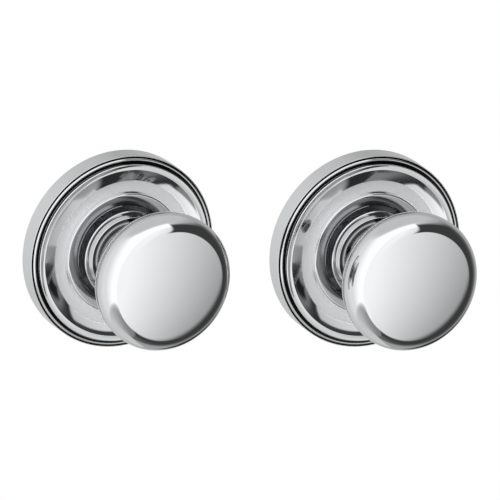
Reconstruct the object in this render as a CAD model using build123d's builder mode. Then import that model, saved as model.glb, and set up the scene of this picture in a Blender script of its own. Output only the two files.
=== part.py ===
"""Passage knob set in polished chrome: two sprung knob-and-rose trims, set out side by side on one door face.

Frame: X runs along the door, Y into the door and Z up. The door face is the plane Y = 0, and the origin is
the centre of the outside rose on that face. "Out" is a distance from the door face towards the hand, along
-Y, and a "depth" is a distance into the door, along +Y. All sizes are in millimetres and degrees.
"""

from build123d import *
from math import asin, cos, degrees, radians, sin, tan
import os

# The set
trim_spacing = 96.4
turn_limit = 50

# Rose: skirt with a lip, quirk, bead, groove, hollow ring, dish and low domed collar
rose_diameter = 70
rose_lip_width = 0.3
rose_lip_round = 0.12
rose_lip_drop = 0.45
rose_quirk_radius = 0.25
rose_quirk_depth = 0.6
rose_bead_radius = 0.5
rose_groove_radius = 0.4
rose_groove_floor = 0.5
rose_ring_height = 1.05
rose_ring_round = 0.3
rose_ring_slope = 8
rose_hollow_radius = 4.3
rose_crest_slope = 12
rose_crest_round = 0.35
rose_fall_slope = 18
rose_dish_out = 7.75
rose_collar_width = 4.5
rose_collar_height = 1.65
rose_collar_round = 0.5
rose_collar_tilt = 12
rose_bore_gap = 1.15
rose_skirt_wall = 1.6
rose_top_wall = 1.7

# Knob: domed face, rounded edge, round back, tapered neck and stepped foot
knob_diameter = 49.8
knob_projection = 49.2
knob_dome_tilt = 12
knob_edge_radius = 6.2
knob_back_radius = 16.3
knob_back_sweep = 65
neck_blend_radius = 1.8
neck_taper = 10
step_width = 2
step_out = 12.9
step_round = 0.3
flange_width = 1.9
flange_out = 11.5
flange_thickness = 0.9
flange_round = 0.45

# Shank and the pieces threaded onto it
journal_radius = 9
shank_flat_width = 14.4
spindle_side = 8
spindle_out = 20.5
spindle_depth = 17
cam_thickness = 1.6
washer_thickness = 0.8
washer_width = 3.5
ring_thickness = 1
ring_width = 2.2
ring_gap = 2.2
ring_eye_radius = 1.5
ring_eye_hole_radius = 0.75
groove_depth = 0.9
shank_tail = 1.2

# Mounting plate with its bearing hub and spring housing
plate_thickness = 3
plate_web = 1.5
hub_out = 6.4
hub_depth = 5.9
hub_wall = 1.8
bush_wall = 1.6
bush_flange = 1
bush_overhang = 1
housing_wall = 1.2
housing_depth = 8
rib_width = 2
rib_height = 1.6
rib_count = 4

# Return spring of flat wire, with a lug between its legs and a stop across from it
spring_wire = 1.2
spring_clearance = 1
spring_leg_width = 0.96
spring_pitch = 1.6
spring_turns = 3
lug_half_width = 2
lug_thickness = 1.2
lug_depth = 5.4
tab_thickness = 1.1
tab_half_width = 1.65
stop_half_width = 3
stop_height = 2.4
stop_slack = 1

# Screws, bolts and posts
knob_screw_radius = 2.5
knob_screw_out = 16.5
rose_screw_radius = 1.5
rose_screw_length = 3
screw_recess = 0.5
hex_socket_share = 0.55
bolt_radius = 2.5
bolt_thread_radius = 2.35
bolt_depth = 22
bolt_head_radius = 4.2
bolt_head_height = 2.4
bolt_slot_width = 1.2
post_radius = 3.2
post_depth = 20
post_thread_radius = 2.1
post_thread_length = 16
post_seat_depth = 1.2
post_seat_gap = 0.1
fixing_gap = 0.52
rivet_radius = 3.6
rivet_height = 0.8

# Clearances: running and seated fits, end play along the shank, and plain air; a cut starts and ends clear of
# the metal by its overrun
running_gap = 0.05
seat_gap = 0.03
end_play = 0.1
air_gap = 0.3
edge_break = 0.3
cut_overrun = 1

# Sizes that follow from the ones above
rose_radius = rose_diameter / 2
rose_inside_radius = rose_radius - rose_skirt_wall
rose_inside_out = rose_dish_out - rose_top_wall
lip_end_radius = rose_radius - rose_lip_width
bead_start_radius = lip_end_radius - 2 * rose_quirk_radius
ring_radius = bead_start_radius - 2 * rose_bead_radius - 2 * rose_groove_radius
bead_centre_out = rose_inside_out + rose_groove_floor + rose_groove_radius
lip_out = bead_centre_out + rose_bead_radius - rose_lip_drop
quirk_centre_out = lip_out - rose_quirk_depth + rose_quirk_radius
ring_out = rose_dish_out + rose_ring_height
collar_out = rose_dish_out + rose_collar_height

knob_radius = knob_diameter / 2
dome_rim_radius = knob_radius - knob_edge_radius * (1 - sin(radians(knob_dome_tilt)))
dome_radius = dome_rim_radius / sin(radians(knob_dome_tilt))
dome_drop = dome_radius * (1 - cos(radians(knob_dome_tilt)))
knob_equator_out = knob_projection - dome_drop - knob_edge_radius * cos(radians(knob_dome_tilt))
blend_start_radius = knob_radius - knob_back_radius * (1 - cos(radians(knob_back_sweep)))
blend_start_out = knob_equator_out - knob_back_radius * sin(radians(knob_back_sweep))
blend_width = neck_blend_radius * (cos(radians(neck_taper)) - cos(radians(knob_back_sweep)))
blend_drop = neck_blend_radius * (sin(radians(knob_back_sweep)) - sin(radians(neck_taper)))
neck_length = blend_start_out - blend_drop - step_out
neck_radius = blend_start_radius - blend_width - neck_length * tan(radians(neck_taper))
step_radius = neck_radius + step_width
flange_radius = step_radius + flange_width
flange_under_out = flange_out - flange_thickness
rose_bore_radius = flange_radius + rose_bore_gap
rose_collar_radius = rose_bore_radius + rose_collar_width
collar_edge_width = rose_collar_round * (1 - sin(radians(rose_collar_tilt)))
collar_dome_radius = (rose_collar_width / 2 - collar_edge_width) / sin(radians(rose_collar_tilt))

bush_radius = journal_radius + running_gap + bush_wall
hub_bore_radius = bush_radius + seat_gap
hub_radius = hub_bore_radius + hub_wall
bush_flange_radius = hub_radius + bush_overhang
washer_radius = journal_radius + running_gap + washer_width
flange_back_out = hub_out + bush_flange + end_play
cam_depth = hub_depth + end_play
washer_depth = cam_depth + cam_thickness
groove_start_depth = washer_depth + washer_thickness
groove_end_depth = groove_start_depth + ring_thickness + end_play
shank_depth = groove_end_depth + shank_tail
groove_radius = journal_radius - groove_depth
ring_eye_place = groove_radius + ring_width - ring_eye_radius / 4
ring_eye_angle = degrees(asin((ring_gap / 2 + ring_eye_radius + edge_break) / ring_eye_place))
socket_side = spindle_side + 2 * running_gap
socket_length = spindle_out + end_play + shank_depth

plate_radius = rose_inside_radius - air_gap
rib_start_radius = hub_radius - hub_wall / 2
rib_end_radius = plate_radius - rib_width
spring_radius = hub_radius + spring_clearance + spring_wire / 2
tab_radius = spring_radius + spring_wire / 2 + air_gap + tab_thickness
lug_inner_radius = tab_radius + air_gap
pocket_radius = lug_inner_radius + lug_thickness
pocket_out = plate_thickness - plate_web
housing_radius = pocket_radius + housing_wall
cam_radius = pocket_radius - air_gap
leg_reach = pocket_radius - air_gap
leg_offset = lug_half_width + air_gap + spring_wire / 2
leg_angle = degrees(asin(leg_offset / lug_inner_radius))
spring_out = pocket_out - air_gap - spring_wire / 2
stop_inner_radius = pocket_radius - stop_height
stop_half_angle = degrees(asin(stop_half_width / stop_inner_radius))
cam_gap_radius = stop_inner_radius - 2 * air_gap
cam_gap_half_angle = turn_limit + stop_half_angle + stop_slack
bolt_hole_radius = bolt_radius + air_gap
post_seat_radius = post_radius + post_seat_gap
fixing_spacing = 2 * (housing_radius + post_radius + fixing_gap)
rose_screw_out = plate_thickness / 2


def section_plane(trim_x):
    """Plane through the trim's axis: local x is the radius, local y the distance out of the door."""
    return Plane(origin=(trim_x, 0, 0), x_dir=(1, 0, 0), z_dir=(0, 0, -1))


def door_plane(trim_x, out):
    """Plane parallel to the door, that far out of it: local x is X, local y is Z."""
    return Plane(origin=(trim_x, -out, 0), x_dir=(1, 0, 0), z_dir=(0, -1, 0))


def underside_plane(trim_x, out, radius):
    """Plane facing down, that far below the trim's axis, for the screws that enter from below."""
    return Plane(origin=(trim_x, -out, -radius), x_dir=(1, 0, 0), z_dir=(0, 0, -1))


os.makedirs("parts", exist_ok=True)

for side, trim_x in (("outside", 0), ("inside", trim_spacing)):
    trim_axis = Axis((trim_x, 0, 0), (0, -1, 0))

    # Rose: one turned shell
    with BuildPart() as rose:
        with BuildSketch(section_plane(trim_x)):
            with BuildLine():
                rim = Line((rose_inside_radius, 0), (rose_radius, 0))
                skirt = Line(rim @ 1, (rose_radius, lip_out - rose_lip_round))
                lip_edge = JernArc(skirt @ 1, (0, 1), rose_lip_round, 90)
                lip = Line(lip_edge @ 1, (lip_end_radius + rose_lip_round, lip_out))
                lip_inside = JernArc(lip @ 1, (-1, 0), rose_lip_round, 90)
                quirk_wall = Line(lip_inside @ 1, (lip_end_radius, quirk_centre_out))
                quirk = JernArc(quirk_wall @ 1, (0, -1), rose_quirk_radius, -180)
                bead_wall = Line(quirk @ 1, (bead_start_radius, bead_centre_out))
                bead = JernArc(bead_wall @ 1, (0, 1), rose_bead_radius, 180)
                groove = JernArc(bead @ 1, (0, -1), rose_groove_radius, -180)
                ring_wall = Line(groove @ 1, (ring_radius, ring_out - rose_ring_round))
                ring_edge = JernArc(ring_wall @ 1, (0, 1), rose_ring_round, 90 + rose_ring_slope)
                hollow_sweep = rose_ring_slope + rose_crest_slope
                hollow = JernArc(ring_edge @ 1, ring_edge % 1, rose_hollow_radius, -hollow_sweep)
                crest = JernArc(hollow @ 1, hollow % 1, rose_crest_round, rose_crest_slope + rose_fall_slope)
                dish_drop = (crest @ 1).Y - rose_dish_out
                dish_cove_radius = dish_drop / (1 - cos(radians(rose_fall_slope)))
                dish_cove = JernArc(crest @ 1, crest % 1, dish_cove_radius, -rose_fall_slope)
                dish = Line(dish_cove @ 1, (rose_collar_radius, rose_dish_out))
                collar_wall = Line(dish @ 1, (rose_collar_radius, collar_out - rose_collar_round))
                collar_edge = JernArc(collar_wall @ 1, (0, 1), rose_collar_round, 90 - rose_collar_tilt)
                collar = JernArc(collar_edge @ 1, collar_edge % 1, collar_dome_radius, 2 * rose_collar_tilt)
                collar_inside = JernArc(collar @ 1, collar % 1, rose_collar_round, 90 - rose_collar_tilt)
                Polyline(
                    collar_inside @ 1,
                    (rose_bore_radius, rose_inside_out),
                    (rose_inside_radius, rose_inside_out),
                    rim @ 0,
                )
            make_face()
        revolve(axis=trim_axis)
        with BuildSketch(underside_plane(trim_x, rose_screw_out, rose_radius + cut_overrun)):
            Circle(rose_screw_radius + seat_gap)
        extrude(amount=-(rose_skirt_wall + 2 * cut_overrun), mode=Mode.SUBTRACT)
    rose.part.label = f"{side}_rose"
    export_step(rose.part, f"parts/{side}_rose.step")

    # Knob: head, neck, stepped foot and shank in one
    with BuildPart() as knob:
        with BuildSketch(section_plane(trim_x)):
            with BuildLine():
                dome = JernArc((0, knob_projection), (1, 0), dome_radius, -knob_dome_tilt)
                round_edge = JernArc(dome @ 1, dome % 1, knob_edge_radius, knob_dome_tilt - 90)
                back = JernArc(round_edge @ 1, (0, -1), knob_back_radius, -knob_back_sweep)
                blend = JernArc(back @ 1, back % 1, neck_blend_radius, knob_back_sweep - neck_taper)
                neck = Line(blend @ 1, (neck_radius, step_out))
                step = Line(neck @ 1, (step_radius - step_round, step_out))
                step_edge = JernArc(step @ 1, (1, 0), step_round, -90)
                riser = Line(step_edge @ 1, (step_radius, flange_out))
                flange = Line(riser @ 1, (flange_radius - flange_round, flange_out))
                flange_edge = JernArc(flange @ 1, (1, 0), flange_round, -90)
                Polyline(
                    flange_edge @ 1,
                    (flange_radius, flange_under_out),
                    (bush_flange_radius, flange_under_out),
                    (bush_flange_radius, flange_back_out),
                    (journal_radius, flange_back_out),
                    (journal_radius, -groove_start_depth),
                    (groove_radius, -groove_start_depth),
                    (groove_radius, -groove_end_depth),
                    (journal_radius, -groove_end_depth),
                    (journal_radius, edge_break - shank_depth),
                    (journal_radius - edge_break, -shank_depth),
                    (0, -shank_depth),
                    dome @ 0,
                )
            make_face()
        revolve(axis=trim_axis)
        with BuildSketch(door_plane(trim_x, -shank_depth)):
            Rectangle(socket_side, socket_side)
        extrude(amount=socket_length, mode=Mode.SUBTRACT)
        with BuildSketch(door_plane(trim_x, -cam_depth)):
            Circle(journal_radius + cut_overrun)
            Rectangle(shank_flat_width, 4 * journal_radius, mode=Mode.SUBTRACT)
        extrude(amount=cam_depth - shank_depth, mode=Mode.SUBTRACT)
        with BuildSketch(underside_plane(trim_x, knob_screw_out, 0)):
            Circle(knob_screw_radius + seat_gap)
        extrude(amount=neck_radius + 2 * cut_overrun, mode=Mode.SUBTRACT)
    knob.part.label = f"{side}_knob"
    export_step(knob.part, f"parts/{side}_knob.step")

    # Mounting plate: disc, bearing hub and spring housing in one casting
    with BuildPart() as mounting_plate:
        with BuildSketch(section_plane(trim_x)):
            with BuildLine():
                Polyline(
                    (hub_bore_radius, hub_out),
                    (hub_radius, hub_out),
                    (hub_radius, plate_thickness),
                    (plate_radius, plate_thickness),
                    (plate_radius, 0),
                    (housing_radius, 0),
                    (housing_radius, -housing_depth),
                    (pocket_radius, -housing_depth),
                    (pocket_radius, pocket_out),
                    (hub_radius, pocket_out),
                    (hub_radius, -hub_depth),
                    (hub_bore_radius, -hub_depth),
                    close=True,
                )
            make_face()
        revolve(axis=trim_axis)
        # The lug below stands between the spring's legs, the stop above in the cam's gap
        with BuildSketch(door_plane(trim_x, pocket_out)):
            Circle(pocket_radius + housing_wall / 2)
            Circle(lug_inner_radius, mode=Mode.SUBTRACT)
            with Locations((0, -pocket_radius)):
                Rectangle(2 * lug_half_width, 4 * lug_thickness, mode=Mode.INTERSECT)
        extrude(amount=-(pocket_out + lug_depth))
        with BuildSketch(door_plane(trim_x, -cam_depth + end_play)):
            Circle(pocket_radius + housing_wall / 2)
            Circle(stop_inner_radius, mode=Mode.SUBTRACT)
            with Locations((0, pocket_radius)):
                Rectangle(2 * stop_half_width, 4 * stop_height, mode=Mode.INTERSECT)
        extrude(amount=cam_depth - end_play - housing_depth)
        # Ribs on the front, between the fixing holes
        with BuildSketch(door_plane(trim_x, plate_thickness)):
            with PolarLocations((rib_start_radius + rib_end_radius) / 2, rib_count, start_angle=45):
                Rectangle(rib_end_radius - rib_start_radius, rib_width)
        extrude(amount=rib_height)
        # Fixing holes above and below the latch, with a seat for a post's shoulder in the back
        with BuildSketch(door_plane(trim_x, plate_thickness)):
            with GridLocations(0, fixing_spacing, 1, 2):
                Circle(bolt_hole_radius)
        extrude(amount=-plate_thickness, mode=Mode.SUBTRACT)
        with BuildSketch(door_plane(trim_x, 0)):
            with GridLocations(0, fixing_spacing, 1, 2):
                Circle(post_seat_radius)
        extrude(amount=post_seat_depth, mode=Mode.SUBTRACT)
        with BuildSketch(underside_plane(trim_x, rose_screw_out, plate_radius + cut_overrun)):
            Circle(rose_screw_radius + air_gap / 2)
        extrude(amount=-(rose_screw_length + cut_overrun), mode=Mode.SUBTRACT)
    mounting_plate.part.label = f"{side}_mounting_plate"
    export_step(mounting_plate.part, f"parts/{side}_mounting_plate.step")

    # Bearing bush with its thrust flange
    with BuildPart() as bearing_bush:
        with BuildSketch(section_plane(trim_x)):
            with BuildLine():
                Polyline(
                    (journal_radius + running_gap, -hub_depth),
                    (bush_radius, -hub_depth),
                    (bush_radius, hub_out),
                    (bush_flange_radius, hub_out),
                    (bush_flange_radius, hub_out + bush_flange),
                    (journal_radius + running_gap, hub_out + bush_flange),
                    close=True,
                )
            make_face()
        revolve(axis=trim_axis)
    bearing_bush.part.label = f"{side}_bearing_bush"
    export_step(bearing_bush.part, f"parts/{side}_bearing_bush.step")

    # Return spring: a coil that runs from one side of the lug to the other, with a leg at each end
    with BuildPart() as return_spring:
        coil_length = spring_pitch * (spring_turns - leg_angle / 180)
        coil_end_out = spring_out - coil_length
        with BuildLine() as coil:
            add(
                Helix(
                    spring_pitch,
                    coil_length,
                    spring_radius,
                    center=(trim_x, -coil_end_out, 0),
                    direction=(0, -1, 0),
                    mode=Mode.PRIVATE,
                ).rotate(trim_axis, leg_angle)
            )
        coil_start = coil.line @ 0
        coil_radial = coil_start - Vector(trim_x, coil_start.Y, 0)
        with BuildSketch(Plane(coil_start, x_dir=coil_radial, z_dir=coil.line % 0)):
            Rectangle(spring_wire, spring_wire)
        sweep(path=coil.line, is_frenet=True)
        for end in (0, 1):
            leg_start = coil.line @ end
            leg_direction = leg_start - Vector(trim_x, leg_start.Y, 0)
            with BuildSketch(Plane(leg_start, x_dir=(0, 1, 0), z_dir=leg_direction)):
                Rectangle(spring_leg_width, spring_wire)
            extrude(amount=leg_reach - spring_radius)
    return_spring.part.label = f"{side}_return_spring"
    export_step(return_spring.part, f"parts/{side}_return_spring.step")

    # Drive cam: a plate on the shank's flats, with a tab between the spring's legs and a gap for the stop
    with BuildPart() as drive_cam:
        with BuildSketch(door_plane(trim_x, -cam_depth)):
            Circle(cam_radius)
            with BuildSketch(mode=Mode.PRIVATE) as shank_hole:
                Circle(journal_radius + running_gap)
                Rectangle(
                    shank_flat_width + 2 * running_gap, 4 * journal_radius, mode=Mode.INTERSECT
                )
            add(shank_hole.sketch, mode=Mode.SUBTRACT)
            with BuildLine():
                gap_floor = CenterArc(
                    (0, 0), cam_gap_radius, 90 - cam_gap_half_angle, 2 * cam_gap_half_angle
                )
                gap_mouth = CenterArc(
                    (0, 0), cam_radius + cut_overrun, 90 - cam_gap_half_angle, 2 * cam_gap_half_angle
                )
                Line(gap_floor @ 0, gap_mouth @ 0)
                Line(gap_floor @ 1, gap_mouth @ 1)
            make_face(mode=Mode.SUBTRACT)
        extrude(amount=-cam_thickness)
        with BuildSketch(door_plane(trim_x, -cam_depth)):
            Circle(tab_radius)
            Circle(tab_radius - tab_thickness, mode=Mode.SUBTRACT)
            with Locations((0, -tab_radius)):
                Rectangle(2 * tab_half_width, 4 * tab_thickness, mode=Mode.INTERSECT)
        extrude(amount=cam_depth + pocket_out - 2 * air_gap)
    drive_cam.part.label = f"{side}_drive_cam"
    export_step(drive_cam.part, f"parts/{side}_drive_cam.step")

    # Thrust washer behind the cam
    with BuildPart() as thrust_washer:
        with BuildSketch(door_plane(trim_x, -washer_depth)):
            Circle(washer_radius)
            Circle(journal_radius + running_gap, mode=Mode.SUBTRACT)
        extrude(amount=-washer_thickness)
    thrust_washer.part.label = f"{side}_thrust_washer"
    export_step(thrust_washer.part, f"parts/{side}_thrust_washer.step")

    # Retaining ring: an open ring with an eye at each end
    with BuildPart() as retaining_ring:
        with BuildSketch(door_plane(trim_x, -groove_start_depth)):
            Circle(groove_radius + ring_width)
            eyes = PolarLocations(
                ring_eye_place,
                2,
                start_angle=90 - ring_eye_angle,
                angular_range=2 * ring_eye_angle,
                endpoint=True,
            )
            with eyes:
                Circle(ring_eye_radius)
            Circle(groove_radius + running_gap, mode=Mode.SUBTRACT)
            with Locations((0, ring_eye_place)):
                Rectangle(ring_gap, 2 * ring_width + cut_overrun, mode=Mode.SUBTRACT)
            with eyes:
                Circle(ring_eye_hole_radius, mode=Mode.SUBTRACT)
        extrude(amount=-ring_thickness)
    retaining_ring.part.label = f"{side}_retaining_ring"
    export_step(retaining_ring.part, f"parts/{side}_retaining_ring.step")

    # Half spindle: a square bar with broken corners at its free end
    with BuildPart() as spindle:
        with BuildSketch(door_plane(trim_x, spindle_out)):
            Rectangle(spindle_side, spindle_side)
        extrude(amount=-(spindle_out + spindle_depth))
        chamfer(spindle.faces().sort_by(Axis.Y)[-1].edges(), 3 * edge_break)
    spindle.part.label = f"{side}_spindle"
    export_step(spindle.part, f"parts/{side}_spindle.step")

    # Knob set screw, from below onto the spindle, with a hexagon socket
    with BuildPart() as knob_set_screw:
        knob_screw_end = neck_radius - screw_recess
        with BuildSketch(underside_plane(trim_x, knob_screw_out, knob_screw_end)):
            Circle(knob_screw_radius)
            RegularPolygon(knob_screw_radius * hex_socket_share, 6, mode=Mode.SUBTRACT)
        extrude(amount=-knob_screw_radius)
        with BuildSketch(underside_plane(trim_x, knob_screw_out, knob_screw_end - knob_screw_radius)):
            Circle(knob_screw_radius)
        extrude(amount=spindle_side / 2 + running_gap - knob_screw_end + knob_screw_radius)
        chamfer(knob_set_screw.faces().sort_by(Axis.Z)[-1].edges(), edge_break)
    knob_set_screw.part.label = f"{side}_knob_set_screw"
    export_step(knob_set_screw.part, f"parts/{side}_knob_set_screw.step")

    # Rose set screw, from below through the skirt into the plate's edge
    with BuildPart() as rose_set_screw:
        rose_screw_end = rose_radius - screw_recess
        rose_socket_depth = rose_screw_length / 2
        with BuildSketch(underside_plane(trim_x, rose_screw_out, rose_screw_end)):
            Circle(rose_screw_radius)
            RegularPolygon(rose_screw_radius * hex_socket_share, 6, mode=Mode.SUBTRACT)
        extrude(amount=-rose_socket_depth)
        with BuildSketch(underside_plane(trim_x, rose_screw_out, rose_screw_end - rose_socket_depth)):
            Circle(rose_screw_radius)
        extrude(amount=rose_socket_depth - rose_screw_length)
        chamfer(rose_set_screw.faces().sort_by(Axis.Z)[-1].edges(), edge_break)
    rose_set_screw.part.label = f"{side}_rose_set_screw"
    export_step(rose_set_screw.part, f"parts/{side}_rose_set_screw.step")

# Fixing posts, riveted into the outside plate and threaded inside
with BuildPart() as fixing_posts:
    with BuildSketch(door_plane(0, post_seat_depth)):
        with GridLocations(0, fixing_spacing, 1, 2):
            Circle(post_radius)
    extrude(amount=-(post_seat_depth + post_depth))
    with BuildSketch(door_plane(0, post_seat_depth)):
        with GridLocations(0, fixing_spacing, 1, 2):
            Circle(bolt_hole_radius - seat_gap)
    extrude(amount=plate_thickness - post_seat_depth)
    with BuildSketch(door_plane(0, plate_thickness)):
        with GridLocations(0, fixing_spacing, 1, 2):
            Circle(rivet_radius)
    extrude(amount=rivet_height)
    fillet(fixing_posts.faces().group_by(Axis.Y)[0].edges(), 2 * edge_break)
    with BuildSketch(door_plane(0, -post_depth)):
        with GridLocations(0, fixing_spacing, 1, 2):
            Circle(post_thread_radius)
    extrude(amount=post_thread_length, mode=Mode.SUBTRACT)
fixing_posts.part.label = "outside_fixing_posts"
export_step(fixing_posts.part, "parts/outside_fixing_posts.step")

# Through-bolts in the inside plate, which reach the posts from the other side of the door
with BuildPart() as through_bolts:
    with BuildSketch(door_plane(trim_spacing, plate_thickness)):
        with GridLocations(0, fixing_spacing, 1, 2):
            Circle(bolt_head_radius)
    extrude(amount=bolt_head_height)
    fillet(through_bolts.faces().group_by(Axis.Y)[0].edges(), 2 * edge_break)
    with BuildSketch(door_plane(trim_spacing, plate_thickness + bolt_head_height)):
        with GridLocations(0, fixing_spacing, 1, 2):
            Rectangle(bolt_slot_width, 2 * bolt_head_radius)
    extrude(amount=-bolt_head_height / 2, mode=Mode.SUBTRACT)
    with BuildSketch(door_plane(trim_spacing, plate_thickness)):
        with GridLocations(0, fixing_spacing, 1, 2):
            Circle(bolt_radius)
    extrude(amount=-(plate_thickness + edge_break))
    with BuildSketch(door_plane(trim_spacing, -edge_break)):
        with GridLocations(0, fixing_spacing, 1, 2):
            Circle(bolt_thread_radius)
    extrude(amount=edge_break - bolt_depth)
    chamfer(through_bolts.faces().group_by(Axis.Y)[-1].edges(), 2 * edge_break)
through_bolts.part.label = "inside_through_bolts"
export_step(through_bolts.part, "parts/inside_through_bolts.step")
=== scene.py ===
from math import cos, pi, radians, sin, tan

import bmesh
import bpy
from mathutils import Matrix, Vector


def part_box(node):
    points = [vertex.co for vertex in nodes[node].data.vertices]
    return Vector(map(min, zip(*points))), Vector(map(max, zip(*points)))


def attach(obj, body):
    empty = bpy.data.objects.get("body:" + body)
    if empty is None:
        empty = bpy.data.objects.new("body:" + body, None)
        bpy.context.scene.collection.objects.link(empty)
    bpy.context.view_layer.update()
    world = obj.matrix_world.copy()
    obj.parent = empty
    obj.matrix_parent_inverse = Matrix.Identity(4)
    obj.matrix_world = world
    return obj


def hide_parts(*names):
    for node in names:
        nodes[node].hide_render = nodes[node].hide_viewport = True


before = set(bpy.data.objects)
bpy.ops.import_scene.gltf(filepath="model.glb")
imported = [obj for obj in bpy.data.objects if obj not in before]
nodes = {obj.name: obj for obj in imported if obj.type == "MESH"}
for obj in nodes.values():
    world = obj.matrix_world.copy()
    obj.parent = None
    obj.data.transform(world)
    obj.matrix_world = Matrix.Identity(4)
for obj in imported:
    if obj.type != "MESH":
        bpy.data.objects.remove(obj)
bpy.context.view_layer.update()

MM = 0.001
SIDES = ("outside", "inside")

# Making: facets round the chromed trims, the fixings and a drill, the bend in degrees from which an edge is a
# crease, and in mm the gap that closes seams and poles and the run of a cutter past the piece
TRIM_FACETS = 256
FIXING_FACETS = 48
DRILL_FACETS = 64
CREASE_ANGLE = 25
SEAM_GAP = 0.001
OVERRUN = 1

# Sizes in millimetres and degrees. "Out" is a distance from the door face towards the hand, along -Y, and a
# "depth" is a distance into the door. The main sizes are read from the frame.
trim_x = {side: sum(corner[0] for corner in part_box(f"{side}_rose")) / 2 / MM for side in SIDES}
rose_radius = (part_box("outside_rose")[1][0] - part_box("outside_rose")[0][0]) / 2 / MM
knob_radius = (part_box("outside_knob")[1][0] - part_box("outside_knob")[0][0]) / 2 / MM
knob_projection = -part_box("outside_knob")[0][1] / MM
shank_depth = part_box("outside_knob")[1][1] / MM

# Knob: domed face, rounded edge, round back, tapered neck, stepped foot and shank
knob_dome_tilt = 12
knob_edge_radius = 6.2
knob_back_radius = 16.3
knob_back_sweep = 65
neck_blend_radius = 1.8
neck_taper = 10
step_width = 2
step_out = 12.9
step_round = 0.3
flange_width = 1.9
flange_out = 11.5
flange_under_out = 10.6
flange_round = 0.45
seat_radius = 13.48
seat_out = 7.5
journal_radius = 9
groove_radius = 8.1
groove_start_depth = 8.4
groove_end_depth = 9.5
shank_edge = 0.3
shank_flat_width = 14.4
shank_flat_depth = 6
socket_side = 8.1
socket_out = 20.6
knob_screw_out = 16.5
knob_screw_hole_radius = 2.53

# Rose: skirt with a lip, quirk, bead, groove, hollow ring, dish and low domed collar
rose_lip_out = 7
rose_lip_width = 0.3
rose_lip_round = 0.12
rose_quirk_radius = 0.25
rose_quirk_depth = 0.6
rose_bead_radius = 0.5
rose_bead_out = 7.45
rose_groove_radius = 0.4
rose_ring_out = 8.8
rose_ring_round = 0.3
rose_ring_slope = 8
rose_hollow_radius = 4.3
rose_crest_slope = 12
rose_crest_round = 0.35
rose_fall_slope = 18
rose_dish_out = 7.75
rose_collar_out = 9.4
rose_collar_width = 4.5
rose_collar_round = 0.5
rose_collar_tilt = 12
rose_bore_gap = 1.15
rose_inside_radius = rose_radius - 1.6
rose_inside_out = 6.05
rose_screw_out = 1.5
rose_screw_hole_radius = 1.53

# Fixings: slotted bolts in the inside trim, riveted and threaded posts in the outside trim, M5 x 0.8
fixing_spacing = 45
plate_thickness = 3
thread_pitch = 0.8
thread_depth = 0.43
bolt_radius = 2.5
bolt_head_radius = 4.2
bolt_head_height = 2.4
bolt_depth = 22
bolt_slot_width = 1.2
fixing_edge_round = 0.6
post_radius = 3.2
post_seat_depth = 1.2
post_shank_radius = 2.77
post_depth = 20
post_bore_radius = 2.1
post_bore_end_depth = 4
rivet_radius = 3.6
rivet_height = 0.8

# Sizes that follow from the ones above
dome_rim_radius = knob_radius - knob_edge_radius * (1 - sin(radians(knob_dome_tilt)))
dome_radius = dome_rim_radius / sin(radians(knob_dome_tilt))
knob_equator_out = (
    knob_projection
    - dome_radius * (1 - cos(radians(knob_dome_tilt)))
    - knob_edge_radius * cos(radians(knob_dome_tilt))
)
blend_start_radius = knob_radius - knob_back_radius * (1 - cos(radians(knob_back_sweep)))
blend_start_out = knob_equator_out - knob_back_radius * sin(radians(knob_back_sweep))
blend_width = neck_blend_radius * (cos(radians(neck_taper)) - cos(radians(knob_back_sweep)))
blend_drop = neck_blend_radius * (sin(radians(knob_back_sweep)) - sin(radians(neck_taper)))
neck_radius = (
    blend_start_radius - blend_width - (blend_start_out - blend_drop - step_out) * tan(radians(neck_taper))
)
step_radius = neck_radius + step_width
flange_radius = step_radius + flange_width
rose_collar_radius = flange_radius + rose_bore_gap + rose_collar_width
collar_edge_width = rose_collar_round * (1 - sin(radians(rose_collar_tilt)))
collar_dome_radius = (rose_collar_width / 2 - collar_edge_width) / sin(radians(rose_collar_tilt))


class Outline:
    """Half section of a turned piece, drawn from point to point, each (radius, distance out of the door) in
    mm. An arc has a point every few degrees, but none closer than the short step or further apart than the
    long one."""

    SUPPORT = 0.03
    ARC_STEP = 3
    SHORT_STEP = 0.04
    LONG_STEP = 0.5
    FEWEST_STEPS = 4
    THREAD_STEPS = 8

    def __init__(self, radius, out):
        self.points = [(radius, out)]

    def line_to(self, radius, out):
        """Straight run, held flat by a point close to each end."""
        start, end = Vector(self.points[-1]), Vector((radius, out))
        run = (end - start).length
        if run > 4 * self.SUPPORT:
            share = self.SUPPORT / run
            self.points.append(tuple(start.lerp(end, share)))
            self.points.append(tuple(start.lerp(end, 1 - share)))
        self.points.append((radius, out))

    def threaded_to(self, out):
        """Straight run along the axis with points close enough to carry a thread."""
        radius, start = self.points[-1]
        steps = round(abs(out - start) / thread_pitch * self.THREAD_STEPS)
        for step in range(1, steps + 1):
            self.points.append((radius, start + (out - start) * step / steps))

    def turn(self, heading, radius, sweep):
        """Arc that leaves the last point along heading, in degrees, and turns left by sweep degrees."""
        start = Vector(self.points[-1])
        to_centre = radians(heading + (90 if sweep > 0 else -90))
        centre = start + radius * Vector((cos(to_centre), sin(to_centre)))
        length = abs(radians(sweep)) * radius
        fine = min(round(abs(sweep) / self.ARC_STEP), round(length / self.SHORT_STEP))
        steps = max(self.FEWEST_STEPS, fine, round(length / self.LONG_STEP))
        for step in range(1, steps + 1):
            angle = to_centre + pi + radians(sweep) * step / steps
            self.points.append(tuple(centre + radius * Vector((cos(angle), sin(angle)))))


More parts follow.
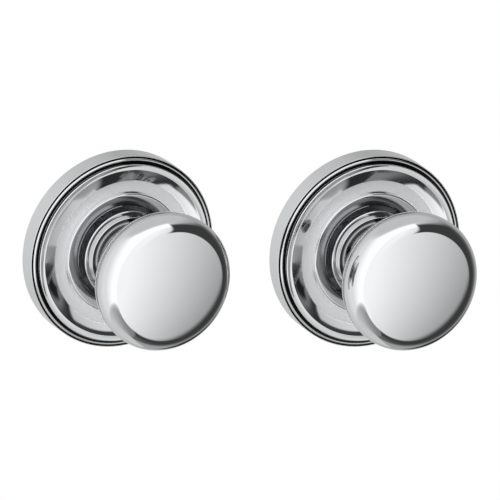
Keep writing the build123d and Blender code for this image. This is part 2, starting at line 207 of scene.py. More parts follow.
def rose_outline():
    """Skirt, lip, quirk, bead, groove, hollow ring, dish and low domed collar, then the inside."""
    outline = Outline(rose_inside_radius, 0)
    outline.line_to(rose_radius, 0)
    outline.line_to(rose_radius, rose_lip_out - rose_lip_round)
    outline.turn(90, rose_lip_round, 90)
    outline.line_to(rose_radius - rose_lip_width + rose_lip_round, rose_lip_out)
    outline.turn(180, rose_lip_round, 90)
    outline.line_to(rose_radius - rose_lip_width, rose_lip_out - rose_quirk_depth + rose_quirk_radius)
    outline.turn(-90, rose_quirk_radius, -180)
    outline.line_to(outline.points[-1][0], rose_bead_out - rose_bead_radius)
    outline.turn(90, rose_bead_radius, 180)
    outline.turn(-90, rose_groove_radius, -180)
    outline.line_to(outline.points[-1][0], rose_ring_out - rose_ring_round)
    outline.turn(90, rose_ring_round, 90 + rose_ring_slope)
    outline.turn(180 + rose_ring_slope, rose_hollow_radius, -rose_ring_slope - rose_crest_slope)
    outline.turn(180 - rose_crest_slope, rose_crest_round, rose_crest_slope + rose_fall_slope)
    dish_drop = outline.points[-1][1] - rose_dish_out
    outline.turn(180 + rose_fall_slope, dish_drop / (1 - cos(radians(rose_fall_slope))), -rose_fall_slope)
    outline.line_to(rose_collar_radius, rose_dish_out)
    outline.line_to(rose_collar_radius, rose_collar_out - rose_collar_round)
    outline.turn(90, rose_collar_round, 90 - rose_collar_tilt)
    outline.turn(180 - rose_collar_tilt, collar_dome_radius, 2 * rose_collar_tilt)
    outline.turn(180 + rose_collar_tilt, rose_collar_round, 90 - rose_collar_tilt)
    outline.line_to(outline.points[-1][0], rose_inside_out)
    outline.line_to(rose_inside_radius, rose_inside_out)
    outline.line_to(rose_inside_radius, 0)
    return outline.points


def knob_outline():
    """Domed face, rounded edge, round back, tapered neck, stepped foot and seat, then the shank with its ring
    groove."""
    outline = Outline(0, knob_projection)
    outline.turn(0, dome_radius, -knob_dome_tilt)
    outline.turn(-knob_dome_tilt, knob_edge_radius, knob_dome_tilt - 90)
    outline.turn(-90, knob_back_radius, -knob_back_sweep)
    outline.turn(-90 - knob_back_sweep, neck_blend_radius, knob_back_sweep - neck_taper)
    outline.line_to(neck_radius, step_out)
    outline.line_to(step_radius - step_round, step_out)
    outline.turn(0, step_round, -90)
    outline.line_to(step_radius, flange_out)
    outline.line_to(flange_radius - flange_round, flange_out)
    outline.turn(0, flange_round, -90)
    outline.line_to(flange_radius, flange_under_out)
    outline.line_to(seat_radius, flange_under_out)
    outline.line_to(seat_radius, seat_out)
    outline.line_to(journal_radius, seat_out)
    outline.line_to(journal_radius, -groove_start_depth)
    outline.line_to(groove_radius, -groove_start_depth)
    outline.line_to(groove_radius, -groove_end_depth)
    outline.line_to(journal_radius, -groove_end_depth)
    outline.line_to(journal_radius, shank_edge - shank_depth)
    outline.line_to(journal_radius - shank_edge, -shank_depth)
    outline.line_to(0, -shank_depth)
    return outline.points


def bolt_outline():
    """Pan head, plain shank through the plate and threaded end with a chamfer."""
    outline = Outline(0, plate_thickness + bolt_head_height)
    outline.line_to(bolt_head_radius - fixing_edge_round, plate_thickness + bolt_head_height)
    outline.turn(0, fixing_edge_round, -90)
    outline.line_to(bolt_head_radius, plate_thickness)
    outline.line_to(bolt_radius, plate_thickness)
    outline.line_to(bolt_radius, -shank_edge)
    outline.threaded_to(fixing_edge_round - bolt_depth)
    outline.line_to(bolt_radius - fixing_edge_round, -bolt_depth)
    outline.line_to(0, -bolt_depth)
    return outline.points


def post_outline():
    """Rivet head, shank in the plate, shouldered body and the bore with its thread."""
    outline = Outline(0, plate_thickness + rivet_height)
    outline.line_to(rivet_radius - fixing_edge_round, plate_thickness + rivet_height)
    outline.turn(0, fixing_edge_round, -90)
    outline.line_to(rivet_radius, plate_thickness)
    outline.line_to(post_shank_radius, plate_thickness)
    outline.line_to(post_shank_radius, post_seat_depth)
    outline.line_to(post_radius, post_seat_depth)
    outline.line_to(post_radius, shank_edge - post_depth)
    outline.line_to(post_radius - shank_edge, -post_depth)
    outline.line_to(post_bore_radius + thread_depth, -post_depth)
    outline.line_to(post_bore_radius, -post_depth + thread_depth)
    outline.threaded_to(-post_bore_end_depth)
    outline.line_to(0, -post_bore_end_depth)
    return outline.points


def add_node(tree, kind, links=(), output=0, **settings):
    """Adds a node with its settings and links, each (output socket or value, input name or index), and gives
    back one of its outputs, or all of them where output is None."""
    node = tree.nodes.new(kind)
    for name, value in settings.items():
        setattr(node, name, value)
    for source, target in links:
        if isinstance(source, bpy.types.NodeSocket):
            tree.links.new(source, node.inputs[target])
        else:
            node.inputs[target].default_value = source
    if output is None or not len(node.outputs):
        return node.outputs
    return node.outputs[output]


def new_geometry_tree(name, inputs):
    """Empty Geometry Nodes tree with named inputs and one geometry output, and what it is given by name."""
    tree = bpy.data.node_groups.new(name, "GeometryNodeTree")
    for label, kind in inputs:
        tree.interface.new_socket(label, in_out="INPUT", socket_type=kind)
    tree.interface.new_socket("Geometry", in_out="OUTPUT", socket_type="NodeSocketGeometry")
    given = add_node(tree, "NodeGroupInput", output=None)
    return tree, {label: given[label] for label, kind in inputs}


def lathe_tree():
    """Turns a half section about the Y axis. Where a thread depth is given, the run between the thread's ends
    carries a thread of that pitch, which stands in from the section or out from it."""
    tree, given = new_geometry_tree(
        "turned_on_a_lathe",
        (
            ("Section", "NodeSocketGeometry"),
            ("Facets round", "NodeSocketInt"),
            ("Thread pitch", "NodeSocketFloat"),
            ("Thread depth", "NodeSocketFloat"),
            ("Thread start", "NodeSocketFloat"),
            ("Thread end", "NodeSocketFloat"),
            ("Sharp from", "NodeSocketFloat"),
            ("Finish", "NodeSocketMaterial"),
        ),
    )
    # Grid: a row for each point of the section and a column for each facet, the last one on the first
    count = add_node(tree, "GeometryNodeAttributeDomainSize", [(given["Section"], 0)], "Point Count")
    seam = add_node(tree, "ShaderNodeMath", [(given["Facets round"], 0), (1, 1)], operation="ADD")
    grid = add_node(tree, "GeometryNodeMeshGrid", [(1, 0), (1, 1), (count, 2), (seam, 3)], "Mesh")
    place = add_node(tree, "GeometryNodeInputPosition")
    on_grid = add_node(tree, "ShaderNodeSeparateXYZ", [(place, 0)], None)
    share = add_node(tree, "ShaderNodeMath", [(on_grid["X"], 0), (0.5, 1)], operation="ADD")
    last = add_node(tree, "ShaderNodeMath", [(count, 0), (1, 1)], operation="SUBTRACT")
    step = add_node(tree, "ShaderNodeMath", [(share, 0), (last, 1)], operation="MULTIPLY")
    index = add_node(tree, "FunctionNodeFloatToInt", [(step, 0)], rounding_mode="ROUND")
    sample = add_node(
        tree,
        "GeometryNodeSampleIndex",
        [(given["Section"], "Geometry"), (place, "Value"), (index, "Index")],
        data_type="FLOAT_VECTOR",
        domain="POINT",
    )
    section = add_node(tree, "ShaderNodeSeparateXYZ", [(sample, 0)], None)
    radius, out = section["X"], section["Y"]
    turn = add_node(tree, "ShaderNodeMath", [(on_grid["Y"], 0), (0.5, 1)], operation="ADD")
    # Thread: flanks that rise and fall once a pitch and wind up by one pitch a turn
    turns = add_node(tree, "ShaderNodeMath", [(out, 0), (given["Thread pitch"], 1)], operation="DIVIDE")
    wind = add_node(tree, "ShaderNodeMath", [(turns, 0), (turn, 1)], operation="ADD")
    flank = add_node(tree, "ShaderNodeMath", [(wind, 0), (0.5, 1)], operation="PINGPONG")
    height = add_node(tree, "ShaderNodeMath", [(flank, 0), (2, 1)], operation="MULTIPLY")
    cut = add_node(tree, "ShaderNodeMath", [(height, 0), (given["Thread depth"], 1)], operation="MULTIPLY")
    after = add_node(tree, "ShaderNodeMath", [(out, 0), (given["Thread start"], 1)], operation="GREATER_THAN")
    before = add_node(tree, "ShaderNodeMath", [(out, 0), (given["Thread end"], 1)], operation="LESS_THAN")
    threaded = add_node(tree, "ShaderNodeMath", [(after, 0), (before, 1)], operation="MULTIPLY")
    cut = add_node(tree, "ShaderNodeMath", [(cut, 0), (threaded, 1)], operation="MULTIPLY")
    radius = add_node(tree, "ShaderNodeMath", [(radius, 0), (cut, 1)], operation="ADD")
    # Turned place of each point
    angle = add_node(tree, "ShaderNodeMath", [(turn, 0), (2 * pi, 1)], operation="MULTIPLY")
    cosine = add_node(tree, "ShaderNodeMath", [(angle, 0)], operation="COSINE")
    sine = add_node(tree, "ShaderNodeMath", [(angle, 0)], operation="SINE")
    x = add_node(tree, "ShaderNodeMath", [(radius, 0), (cosine, 1)], operation="MULTIPLY")
    y = add_node(tree, "ShaderNodeMath", [(out, 0), (-1, 1)], operation="MULTIPLY")
    z = add_node(tree, "ShaderNodeMath", [(radius, 0), (sine, 1)], operation="MULTIPLY")
    point = add_node(tree, "ShaderNodeCombineXYZ", [(x, 0), (y, 1), (z, 2)])
    turned = add_node(tree, "GeometryNodeSetPosition", [(grid, "Geometry"), (point, "Position")])
    # Closed seam and poles, crisp creases and the finish
    closed = add_node(
        tree, "GeometryNodeMergeByDistance", [(turned, "Geometry"), (SEAM_GAP * MM, "Distance")]
    )
    bend = add_node(tree, "GeometryNodeInputMeshEdgeAngle", output="Unsigned Angle")
    crease = add_node(
        tree, "FunctionNodeCompare", [(bend, "A"), (given["Sharp from"], "B")], operation="GREATER_THAN"
    )
    shaded = add_node(
        tree,
        "GeometryNodeSetShadeSmooth",
        [(closed, 0), (crease, "Selection"), (False, "Shade Smooth")],
        domain="EDGE",
    )
    real = add_node(tree, "GeometryNodeRealizeInstances", [(shaded, 0)])
    finished = add_node(tree, "GeometryNodeSetMaterial", [(real, 0), (given["Finish"], "Material")])
    add_node(tree, "NodeGroupOutput", [(finished, 0)])
    return tree


def pair_tree():
    """Sets a piece out twice, one above the other, about the middle."""
    tree, given = new_geometry_tree(
        "set_out_as_a_pair",
        (
            ("Piece", "NodeSocketGeometry"),
            ("Spacing", "NodeSocketFloat"),
            ("Axis X", "NodeSocketFloat"),
            ("Finish", "NodeSocketMaterial"),
        ),
    )
    low = add_node(tree, "ShaderNodeMath", [(given["Spacing"], 0), (-0.5, 1)], operation="MULTIPLY")
    start = add_node(tree, "ShaderNodeCombineXYZ", [(given["Axis X"], 0), (low, 2)])
    rise = add_node(tree, "ShaderNodeCombineXYZ", [(given["Spacing"], 2)])
    places = add_node(
        tree, "GeometryNodeMeshLine", [(2, "Count"), (start, "Start Location"), (rise, "Offset")]
    )
    copies = add_node(
        tree, "GeometryNodeInstanceOnPoints", [(places, "Points"), (given["Piece"], "Instance")]
    )
    real = add_node(tree, "GeometryNodeRealizeInstances", [(copies, 0)])
    finished = add_node(tree, "GeometryNodeSetMaterial", [(real, 0), (given["Finish"], "Material")])
    add_node(tree, "NodeGroupOutput", [(finished, 0)])
    return tree


def apply_modifiers(piece):
    """Makes a piece the plain mesh that its modifiers give."""
    evaluated = piece.evaluated_get(bpy.context.evaluated_depsgraph_get())
    mesh = bpy.data.meshes.new_from_object(evaluated)
    piece.modifiers.clear()
    piece.data = mesh


def shape_with(piece, tree, **inputs):
    """Runs a piece through a Geometry Nodes tree, with inputs by name, underscores standing for spaces."""
    shaping = piece.modifiers.new(tree.name, "NODES")
    shaping.node_group = tree
    sockets = {item.name: item.identifier for item in tree.interface.items_tree}
    for name, value in inputs.items():
        shaping[sockets[name.replace("_", " ")]] = value
    apply_modifiers(piece)


NO_THREAD = (1, 0, 0, 0)


def turned_piece(name, outline, material, facets, thread=NO_THREAD):
    """Mesh turned about the Y axis from an outline, with a thread (pitch, depth, start, end) in mm."""
    section = bpy.data.meshes.new(name)
    points = [(radius * MM, out * MM, 0) for radius, out in outline]
    section.from_pydata(points, [(i, i + 1) for i in range(len(points) - 1)], [])
    piece = bpy.data.objects.new(name, section)
    bpy.context.scene.collection.objects.link(piece)
    pitch, depth, start, end = (size * MM for size in thread)
    shape_with(
        piece,
        LATHE,
        Facets_round=facets,
        Thread_pitch=pitch,
        Thread_depth=depth,
        Thread_start=start,
        Thread_end=end,
        Sharp_from=radians(CREASE_ANGLE),
        Finish=material,
    )
    return piece


def block(low, high):
    """Cutter: a box between two corners, in mm."""
    box = bmesh.new()
    bmesh.ops.create_cube(box, size=1)
    size, middle = Vector(high) - Vector(low), (Vector(high) + Vector(low)) / 2
    placed = Matrix.Translation(middle) @ Matrix.Diagonal(size).to_4x4()
    bmesh.ops.transform(box, matrix=placed, verts=box.verts)
    return box


def drill(radius, out, low, high):
    """Cutter: an upright cylinder on the trim's centre plane, from low to high, in mm."""
    bit = bmesh.new()
    bmesh.ops.create_cone(
        bit, cap_ends=True, segments=DRILL_FACETS, radius1=radius, radius2=radius, depth=high - low
    )
    bmesh.ops.translate(bit, vec=(0, -out, (low + high) / 2), verts=bit.verts)
    return bit


def cut_away(piece, cutters):
    """Takes the cutters out of a piece and leaves a plain mesh with crisp edges."""
    tools = []
    for cutter in cutters:
        mesh = bpy.data.meshes.new("cutter")
        bmesh.ops.scale(cutter, vec=(MM, MM, MM), verts=cutter.verts)
        bmesh.ops.recalc_face_normals(cutter, faces=cutter.faces)
        for face in cutter.faces:
            face.smooth = True
        cutter.to_mesh(mesh)
        cutter.free()
        mesh.materials.append(piece.data.materials[0])
        tool = bpy.data.objects.new("cutter", mesh)
        bpy.context.scene.collection.objects.link(tool)
        cutting = piece.modifiers.new("cut", "BOOLEAN")
        cutting.operation = "DIFFERENCE"
        cutting.solver = "EXACT"
        cutting.object = tool
        tools.append(tool)
    apply_modifiers(piece)
    for tool in tools:
        bpy.data.objects.remove(tool)
    piece.data.set_sharp_from_angle(angle=radians(CREASE_ANGLE))


def linear(hex_colour):
    """sRGB hex to linear RGBA."""
    values = [int(hex_colour[i : i + 2], 16) / 255 for i in (1, 3, 5)]
    return tuple(v / 12.92 if v <= 0.04045 else ((v + 0.055) / 1.055) ** 2.4 for v in values) + (1,)


def band(tree, value, low, high, soft_low, soft_high):
    """1 where a value lies between low and high, and 0 elsewhere. Its edges fade over the soft widths."""
    rise = add_node(
        tree,
        "ShaderNodeMapRange",
        [(value, 0), (low - soft_low, 1), (low + soft_low, 2)],
        interpolation_type="SMOOTHSTEP",
    )
    fall = add_node(
        tree,
        "ShaderNodeMapRange",
        [(value, 0), (high - soft_high, 1), (high + soft_high, 2), (1, 3), (0, 4)],
        interpolation_type="SMOOTHSTEP",
    )
    return add_node(tree, "ShaderNodeMath", [(rise, 0), (fall, 1)], operation="MULTIPLY")


def new_material(name):
    """Material with a Principled shader, its tree, the shader and the Object coordinates."""
    material = bpy.data.materials.new(name)
    material.use_nodes = True
    tree = material.node_tree
    place = add_node(tree, "ShaderNodeTexCoord", output="Object")
    return material, tree, tree.nodes["Principled BSDF"], place


# Chrome: its colour, the size in mm of the clouds over which the polish changes, its roughness from cloud to
# cloud, and the part of the noise that makes the change
CHROME = "#C4C5C6"
CHROME_CLOUD = 18
CHROME_ROUGHNESS = (0.02, 0.045)
CLOUD_NOISE = (0.3, 0.7)

# Zones of the chrome: lowest and highest radius, lowest and highest distance out and softness, in mm
QUIRK = (34.15, 34.75, 6, 6.92, 0.04)
GROOVE = (32.3, 32.95, 6, 7.3, 0.1)
HOLLOW_RING = (26.4, 30.2, 7, 8.9, 0.3)
DISH = (22.2, 26.4, 7, 8.4, 0.3)
COLLAR = (17, 21.3, 5, 10, 0.3)
COLLAR_DOME = (18, 21.2, 8.5, 10, 0.2)
NECK_ROOT = (0, 16, 13.5, 16.4, 0.8)
NECK_AND_FOOT = (0, 16.5, 5, 27, 1)
# Painted shade and light on the chrome, each zone with its tone: painted shade in the quirk, groove and
# collar, a painted dark reflection at the root of the neck, and painted light in the dish
CHROME_PAINTED_SHADE_AND_LIGHT = (
    # painted shade: near black in the narrow quirk and groove
    (QUIRK, "#121212"),
    (GROOVE, "#121212"),
    # painted light: the dish is made paler than the plate
    (DISH, "#F4F5F6"),
    # painted shade: the collar is darker than the plate
    (COLLAR, "#98999B"),
    # painted dark reflection: a soft dark band round the root of the neck
    (NECK_ROOT, "#29292B"),
)
CHROME_SATIN = ((DISH, 0.6), (HOLLOW_RING, 0.05), (COLLAR_DOME, 0.14), (NECK_AND_FOOT, 0.08))


def polished_chrome():
    """Chrome plate on buffed brass: a clean, slightly blue-grey mirror. Its colour is painted dark in the
    narrow quirk and groove of the rose and on its collar as painted shade, and at the root of the neck as a
    painted dark reflection. The flat dish is left satin and its colour is painted paler as painted light, so
    it shows an even pale grey between the mirror rings."""
    material, tree, shader, place = new_material("polished_chrome")
    along = add_node(tree, "ShaderNodeSeparateXYZ", [(place, 0)], None)
    middle = (trim_x["outside"] + trim_x["inside"]) / 2 * MM
    half = (trim_x["inside"] - trim_x["outside"]) / 2 * MM
    from_middle = add_node(tree, "ShaderNodeMath", [(along["X"], 0), (middle, 1)], operation="SUBTRACT")
    from_middle = add_node(tree, "ShaderNodeMath", [(from_middle, 0)], operation="ABSOLUTE")
    from_axis = add_node(tree, "ShaderNodeMath", [(from_middle, 0), (half, 1)], operation="SUBTRACT")
    on_door = add_node(tree, "ShaderNodeCombineXYZ", [(from_axis, 0), (along["Z"], 1)])
    radius = add_node(tree, "ShaderNodeVectorMath", [(on_door, 0)], "Value", operation="LENGTH")
    radius = add_node(tree, "ShaderNodeMath", [(radius, 0), (MM, 1)], operation="DIVIDE")
    out = add_node(tree, "ShaderNodeMath", [(along["Y"], 0), (-MM, 1)], operation="DIVIDE")

    def zone(radius_low, radius_high, out_low, out_high, soft):
        """1 in a zone of either trim and 0 outside it."""
        rings = band(tree, radius, radius_low, radius_high, soft, soft)
        slices = band(tree, out, out_low, out_high, soft, soft)
        return add_node(tree, "ShaderNodeMath", [(rings, 0), (slices, 1)], operation="MULTIPLY")

    colour = linear(CHROME)
    # Painted shade and painted light laid over the plate's colour, zone by zone
    for limits, shade in CHROME_PAINTED_SHADE_AND_LIGHT:
        colour = add_node(
            tree,
            "ShaderNodeMix",
            [(zone(*limits), 0), (colour, 6), (linear(shade), 7)],
            2,
            data_type="RGBA",
        )
    cloud = add_node(
        tree, "ShaderNodeTexNoise", [(place, "Vector"), (1 / (CHROME_CLOUD * MM), "Scale"), (1, "Detail")]
    )
    (noise_low, noise_high), (smoothest, roughest) = CLOUD_NOISE, CHROME_ROUGHNESS
    rough = add_node(
        tree,
        "ShaderNodeMapRange",
        [(cloud, 0), (noise_low, 1), (noise_high, 2), (smoothest, 3), (roughest, 4)],
    )
    for limits, level in CHROME_SATIN:
        rough = add_node(
            tree, "ShaderNodeMix", [(zone(*limits), 0), (rough, 2), (level, 3)], data_type="FLOAT"
        )
    tree.links.new(colour, shader.inputs["Base Color"])
    tree.links.new(rough, shader.inputs["Roughness"])
    shader.inputs["Metallic"].default_value = 1
    return material


# Grain of the other finishes: how much broader its patches are, the part of the noise that makes the change
# from one tone to the other, and the strength of the relief
PATCH_GRAINS = 12
GRAIN_NOISE = (0.35, 0.65)
RELIEF_STRENGTH = 0.5


def grained_finish(name, light, dark, grain, rough, relief, metallic):
    """Finish whose tone and roughness wander between two values, over grains of that size and broader
    patches, with a fine relief; grain and relief in mm."""
    material, tree, shader, place = new_material(name)
    fine = add_node(
        tree, "ShaderNodeTexNoise", [(place, "Vector"), (1 / (grain * MM), "Scale"), (4, "Detail")]
    )
    broad = add_node(
        tree,
        "ShaderNodeTexNoise",
        [(place, "Vector"), (1 / (PATCH_GRAINS * grain * MM), "Scale"), (2, "Detail")],
    )
    mixed = add_node(tree, "ShaderNodeMix", [(0.5, 0), (fine, 2), (broad, 3)], data_type="FLOAT")
    noise_low, noise_high = GRAIN_NOISE
    wander = add_node(tree, "ShaderNodeMapRange", [(mixed, 0), (noise_low, 1), (noise_high, 2)])
    colour = add_node(
        tree, "ShaderNodeMix", [(wander, 0), (linear(dark), 6), (linear(light), 7)], 2, data_type="RGBA"
    )
    gloss = add_node(tree, "ShaderNodeMapRange", [(wander, 0), (rough[1], 3), (rough[0], 4)])
    bump = add_node(
        tree,
        "ShaderNodeBump",
        [(RELIEF_STRENGTH, "Strength"), (relief * MM, "Distance"), (fine, "Height")],
    )
    tree.links.new(colour, shader.inputs["Base Color"])
    tree.links.new(gloss, shader.inputs["Roughness"])
    tree.links.new(bump, shader.inputs["Normal"])
    shader.inputs["Metallic"].default_value = metallic
    return material


LATHE = lathe_tree()
PAIR = pair_tree()

chrome = polished_chrome()
# Die-cast zinc, as cast: matt mid grey with a fine sandy skin
die_cast_zinc = grained_finish("die_cast_zinc", "#A8ABAE", "#8B8E91", 0.6, (0.4, 0.6), 0.02, 1)
# Zinc-plated steel, clear passivated: bright cool grey with faint bluish clouds
zinc_plated_steel = grained_finish("zinc_plated_steel", "#CDD0D3", "#AEB4BB", 1.5, (0.2, 0.36), 0.004, 1)
# Spring steel, oil tempered: dark grey with a drawn sheen
spring_steel = grained_finish("spring_steel", "#77777A", "#535356", 0.5, (0.28, 0.44), 0.006, 1)
# Blackened steel: near-black oxide with a dry sheen
blackened_steel = grained_finish("blackened_steel", "#323234", "#1D1D1F", 0.4, (0.34, 0.54), 0.006, 1)
# Black acetal, turned: deep black with a waxy sheen
black_acetal = grained_finish("black_acetal", "#1C1C1D", "#121213", 0.8, (0.3, 0.45), 0.004, 0)

# Knobs with their square socket, two flats on the shank and the screw hole; roses with their screw hole
half_socket, half_flat = socket_side / 2, shank_flat_width / 2
past = shank_depth + OVERRUN
for side in SIDES:
    knob = turned_piece(f"{side}_knob_turned", knob_outline(), chrome, TRIM_FACETS)
    cut_away(
        knob,
        (
            block((-half_socket, -socket_out, -half_socket), (half_socket, past, half_socket)),
            block((half_flat, shank_flat_depth, -past), (past, past, past)),
            block((-past, shank_flat_depth, -past), (-half_flat, past, past)),
            drill(knob_screw_hole_radius, knob_screw_out, -neck_radius - 2 * OVERRUN, 0),
        ),
    )
    rose = turned_piece(f"{side}_rose_turned", rose_outline(), chrome, TRIM_FACETS)
    hole_low, hole_high = -rose_radius - OVERRUN, OVERRUN - rose_inside_radius
    cut_away(rose, (drill(rose_screw_hole_radius, rose_screw_out, hole_low, hole_high),))
    for piece, part, body in ((knob, "knob", f"{side}_turning"), (rose, "rose", "door_side")):
        piece.data.transform(Matrix.Translation((trim_x[side] * MM, 0, 0)))
        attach(piece, body)
        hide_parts(f"{side}_{part}")

# Slotted bolts and riveted posts with their threads, each turned once and set out as a pair
bolts = turned_piece(
    "inside_through_bolts_threaded",
    bolt_outline(),
    zinc_plated_steel,
    FIXING_FACETS,
    (thread_pitch, -thread_depth, thread_pitch - bolt_depth, -shank_edge - thread_pitch),
)
slot_half, slot_reach = bolt_slot_width / 2, bolt_head_radius + OVERRUN
head_out = plate_thickness + bolt_head_height
slot_low = (-slot_half, -head_out - OVERRUN, -slot_reach)
slot_high = (slot_half, bolt_head_height / 2 - head_out, slot_reach)
cut_away(bolts, (block(slot_low, slot_high),))
posts = turned_piece(
    "outside_fixing_posts_threaded",
    post_outline(),
    zinc_plated_steel,
    FIXING_FACETS,
    (thread_pitch, thread_depth, thread_depth - post_depth, -post_bore_end_depth - thread_pitch),
)
for piece, side, node in (
    (bolts, "inside", "inside_through_bolts"),
    (posts, "outside", "outside_fixing_posts"),
):
    axis_x = trim_x[side] * MM
    shape_with(piece, PAIR, Spacing=fixing_spacing * MM, Axis_X=axis_x, Finish=zinc_plated_steel)
    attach(piece, "door_side")
    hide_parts(node)

# Pieces that are kept as they are in the frame and only get their finish
FINISHES = {
    "mounting_plate": die_cast_zinc,
    "bearing_bush": black_acetal,
    "return_spring": spring_steel,
    "retaining_ring": spring_steel,
    "drive_cam": zinc_plated_steel,
    "thrust_washer": zinc_plated_steel,
    "spindle": zinc_plated_steel,
    "knob_set_screw": blackened_steel,
    "rose_set_screw": blackened_steel,
}
for side in SIDES:
    for part, finish in FINISHES.items():
        for material_slot in nodes[f"{side}_{part}"].material_slots:
            material_slot.material = finish

# Camera at the photograph's viewing angle: its axes, its distance in mm, and the scale and the place of the
# outside rose's centre in the picture
right = Vector((0.8925, -0.4287, 0.1405)).normalized()
backward = Vector((-0.4512, -0.8481, 0.2780))
backward = (backward - right * backward.dot(right)).normalized()
up = backward.cross(right)
IMAGE_PIXELS = 500
MM_PER_PIXEL = 0.3484
OUTSIDE_ROSE_PIXEL = (113.2, 245.1)
CAMERA_DISTANCE = 600
shift_right = (IMAGE_PIXELS / 2 - OUTSIDE_ROSE_PIXEL[0]) * MM_PER_PIXEL * MM
shift_up = (OUTSIDE_ROSE_PIXEL[1] - IMAGE_PIXELS / 2) * MM_PER_PIXEL * MM
target = right * shift_right + up * shift_up
studio_axes = Matrix((right, up, backward)).transposed()

camera_data = bpy.data.cameras.new("camera")
camera_data.type = "ORTHO"
camera_data.ortho_scale = IMAGE_PIXELS * MM_PER_PIXEL * MM
camera = bpy.data.objects.new("camera", camera_data)
camera_place = target + backward * (CAMERA_DISTANCE * MM)
camera.matrix_world = Matrix.Translation(camera_place) @ studio_axes.to_4x4()
bpy.context.scene.collection.objects.link(camera)
bpy.context.scene.camera = camera

# Studio: sizes in mm, the white of the board from cloud to cloud, and an angle past any turn or rise
SHELL_RADIUS = 8000
FLOOR_RADIUS = 800
FLOOR_DROP = 400
BOARD_CLOUD = 300
BOARD_WHITES = ("#F8F8F8", "#FBFBFB")
OPEN = 999


def wall_level(grey):
    """Brightness of a wall whose mirror image in the chrome has that grey level, from 0 to 255."""
    return linear(f"#{grey:02X}{grey:02X}{grey:02X}")[0] / linear(CHROME)[0]


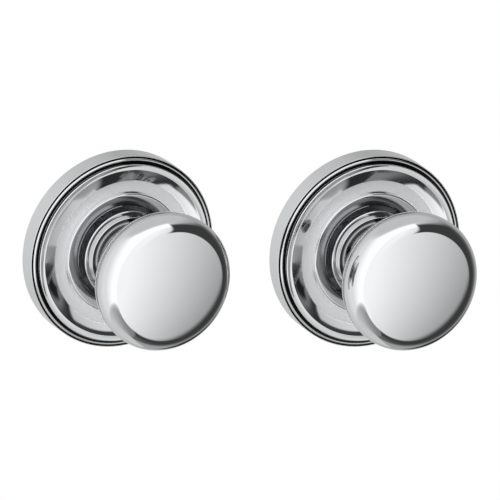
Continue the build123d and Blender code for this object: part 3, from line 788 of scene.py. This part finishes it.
def lit_walls():
    """Studio round the object, fixed in the room. Its angles are in degrees: the turn goes right from the
    photograph's viewing side and the rise goes up. A large white softbox stands in front, between grey walls,
    ceiling and ground, with two round reflectors at its right end and a dark gap behind them."""
    material = bpy.data.materials.new("studio_walls")
    material.use_nodes = True
    tree = material.node_tree
    tree.nodes.clear()
    place = add_node(tree, "ShaderNodeTexCoord", output="Object")
    sight = add_node(tree, "ShaderNodeVectorMath", [(place, 0)], operation="NORMALIZE")
    along = add_node(tree, "ShaderNodeSeparateXYZ", [(sight, 0)], None)
    turn = add_node(tree, "ShaderNodeMath", [(along["X"], 0), (along["Z"], 1)], operation="ARCTAN2")
    turn = add_node(tree, "ShaderNodeMath", [(turn, 0)], operation="DEGREES")
    rise = add_node(tree, "ShaderNodeMath", [(along["Y"], 0)], operation="ARCSINE")
    rise = add_node(tree, "ShaderNodeMath", [(rise, 0)], operation="DEGREES")

    def across(low, high, grey_low, grey_high):
        """Level of a wall that fades from one grey to another between two turns."""
        return add_node(
            tree,
            "ShaderNodeMapRange",
            [(turn, 0), (low, 1), (high, 2), (wall_level(grey_low), 3), (wall_level(grey_high), 4)],
        )

    def window(turn_low, turn_high, rise_low, rise_high, soft):
        """Panel between two turns and two rises, with its four soft edges."""
        sides = band(tree, turn, turn_low, turn_high, soft[0], soft[1])
        ends = band(tree, rise, rise_low, rise_high, soft[2], soft[3])
        return add_node(tree, "ShaderNodeMath", [(sides, 0), (ends, 1)], operation="MULTIPLY")

    def disc(at_turn, at_rise, angle):
        """Round panel about a turn and a rise, as wide as the angle to each side."""
        at_turn, at_rise = radians(at_turn), radians(at_rise)
        aim = (sin(at_turn) * cos(at_rise), sin(at_rise), cos(at_turn) * cos(at_rise))
        near = add_node(
            tree, "ShaderNodeVectorMath", [(sight, 0), (aim, 1)], "Value", operation="DOT_PRODUCT"
        )
        off_aim = add_node(tree, "ShaderNodeMath", [(near, 0)], operation="ARCCOSINE")
        off_aim = add_node(tree, "ShaderNodeMath", [(off_aim, 0)], operation="DEGREES")
        return band(tree, off_aim, -OPEN, angle, 1, 1.5)

    # Left wall and rear, then each layer over the ones before it
    light = across(-180, -75, 160, 226)
    right_wall = (band(tree, turn, 60, OPEN, 40, 1), across(100, 180, 150, 160))
    ceiling = (band(tree, rise, 51, OPEN, 11, 1), wall_level(188))
    ground = (band(tree, rise, -OPEN, -49, 1, 5), across(-90, 75, 195, 100))
    rear_ground = (window(130, OPEN, -OPEN, -49, (30, 1, 1, 5)), wall_level(155))
    rear_corner = (window(138, 170, -46, -18, (10, 6, 3, 8)), wall_level(40))
    softbox = (window(-84, 48, -47, 49, (16, 1.5, 2, 4)), across(-75, -25, 214, 253))
    dark_gap = (window(48, 126, -75, 40, (2, 12, 18, 8)), across(100, 130, 56, 104))
    reflector = across(34, 86, 243, 146)
    large_reflector = (disc(44, -14, 38.5), reflector)
    small_reflector = (disc(57.5, -30.4, 23), reflector)
    for mask, wall in (
        right_wall,
        ceiling,
        ground,
        rear_ground,
        rear_corner,
        softbox,
        large_reflector,
        dark_gap,
        small_reflector,
    ):
        light = add_node(tree, "ShaderNodeMix", [(mask, 0), (light, 2), (wall, 3)], data_type="FLOAT")
    glow = add_node(tree, "ShaderNodeEmission", [(light, "Strength")])
    add_node(tree, "ShaderNodeOutputMaterial", [(glow, "Surface")])
    return material


def pale_floor():
    """Painted board: matt white with no sheen."""
    material, tree, shader, place = new_material("pale_board")
    cloud = add_node(tree, "ShaderNodeTexNoise", [(place, "Vector"), (1 / (BOARD_CLOUD * MM), "Scale")])
    darker, lighter = (linear(white) for white in BOARD_WHITES)
    colour = add_node(
        tree, "ShaderNodeMix", [(cloud, 0), (darker, 6), (lighter, 7)], 2, data_type="RGBA"
    )
    tree.links.new(colour, shader.inputs["Base Color"])
    shader.inputs["Roughness"].default_value = 0.9
    shader.inputs["Specular IOR Level"].default_value = 0
    return material


# Shell of lit walls, far off and hidden from the camera's own view
bpy.ops.mesh.primitive_uv_sphere_add(segments=64, ring_count=32, radius=SHELL_RADIUS * MM)
shell = bpy.context.object
shell.name = "studio_shell"
shell.matrix_world = Matrix.Translation(target) @ studio_axes.to_4x4()
shell.data.materials.append(lit_walls())
shell.visible_camera = False

# Floor: a pale board well below the trims, which hang on no door here. The lit walls stand for it in the
# mirrors.
bpy.ops.mesh.primitive_circle_add(
    vertices=96, radius=FLOOR_RADIUS * MM, fill_type="NGON", location=(0, 0, -FLOOR_DROP * MM)
)
floor = bpy.context.object
floor.name = "floor"
floor.data.materials.append(pale_floor())
floor.visible_glossy = False

# World: white behind everything
world = bpy.data.worlds.new("white_background")
bpy.context.scene.world = world
world.use_nodes = True
world.node_tree.nodes["Background"].inputs["Color"].default_value = (1, 1, 1, 1)

bpy.context.scene.view_settings.view_transform = "Standard"
